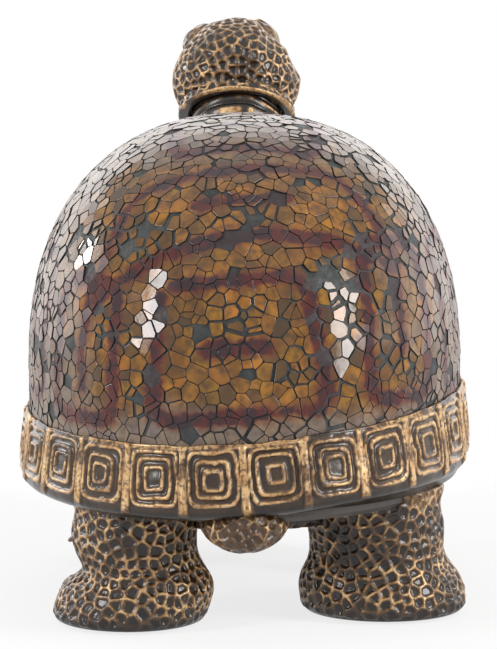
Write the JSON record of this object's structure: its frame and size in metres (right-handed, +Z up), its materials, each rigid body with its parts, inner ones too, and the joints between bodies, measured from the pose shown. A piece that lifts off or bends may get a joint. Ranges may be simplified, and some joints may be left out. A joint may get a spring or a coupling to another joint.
{
  "type": "turtle figurine",
  "caption": "Standing tortoise ornament with a tall domed shell of crackled glass in dark grout, a carved rim of square scutes, stout scaly legs and a raised head on a long neck.",
  "frame": {"origin": "on the floor under the middle of the figurine's bounding box", "axes": "+Z up, +Y from tail to head, +X to the tortoise's right"},
  "size_m": [0.2012, 0.3516, 0.2471],
  "materials": {
    "crackle_glass": "opaque crackled glass over amber and maroon paint, high gloss",
    "grout": "matt dark grey grout",
    "bronze_resin": "cast resin, glossy black brown in the hollows and rubbed gold on the ridges",
    "raw_resin": "unpainted dark cast resin",
    "dowel_wood": "plain hardwood dowel",
    "eye_glass": "polished dark bead",
    "plug_rubber": "soft black rubber",
    "felt": "dark brown pressed felt"
  },
  "bodies": {
    "root": {"glass_vertebral_1": "crackle_glass", "glass_vertebral_2": "crackle_glass", "glass_vertebral_3": "crackle_glass", "glass_vertebral_4": "crackle_glass", "glass_vertebral_5": "crackle_glass", "glass_costal_left_1": "crackle_glass", "glass_costal_left_2": "crackle_glass", "glass_costal_left_3": "crackle_glass", "glass_costal_left_4": "crackle_glass", "glass_costal_right_1": "crackle_glass", "glass_costal_right_2": "crackle_glass", "glass_costal_right_3": "crackle_glass", "glass_costal_right_4": "crackle_glass", "grout_bed": "grout", "shell_rim": "bronze_resin", "plastron": "bronze_resin", "hind_left_leg": "bronze_resin", "hind_right_leg": "bronze_resin", "fore_left_leg": "bronze_resin", "fore_right_leg": "bronze_resin", "neck": "bronze_resin", "head": "bronze_resin", "tail": "bronze_resin", "shell_dome": "raw_resin", "body_pan": "raw_resin", "leg_dowels": "dowel_wood", "neck_dowel": "dowel_wood", "head_dowel": "dowel_wood", "tail_dowel": "dowel_wood", "eye_left": "eye_glass", "eye_right": "eye_glass", "pour_plug": "plug_rubber", "felt_pads": "felt"}
  },
  "joints": []
}
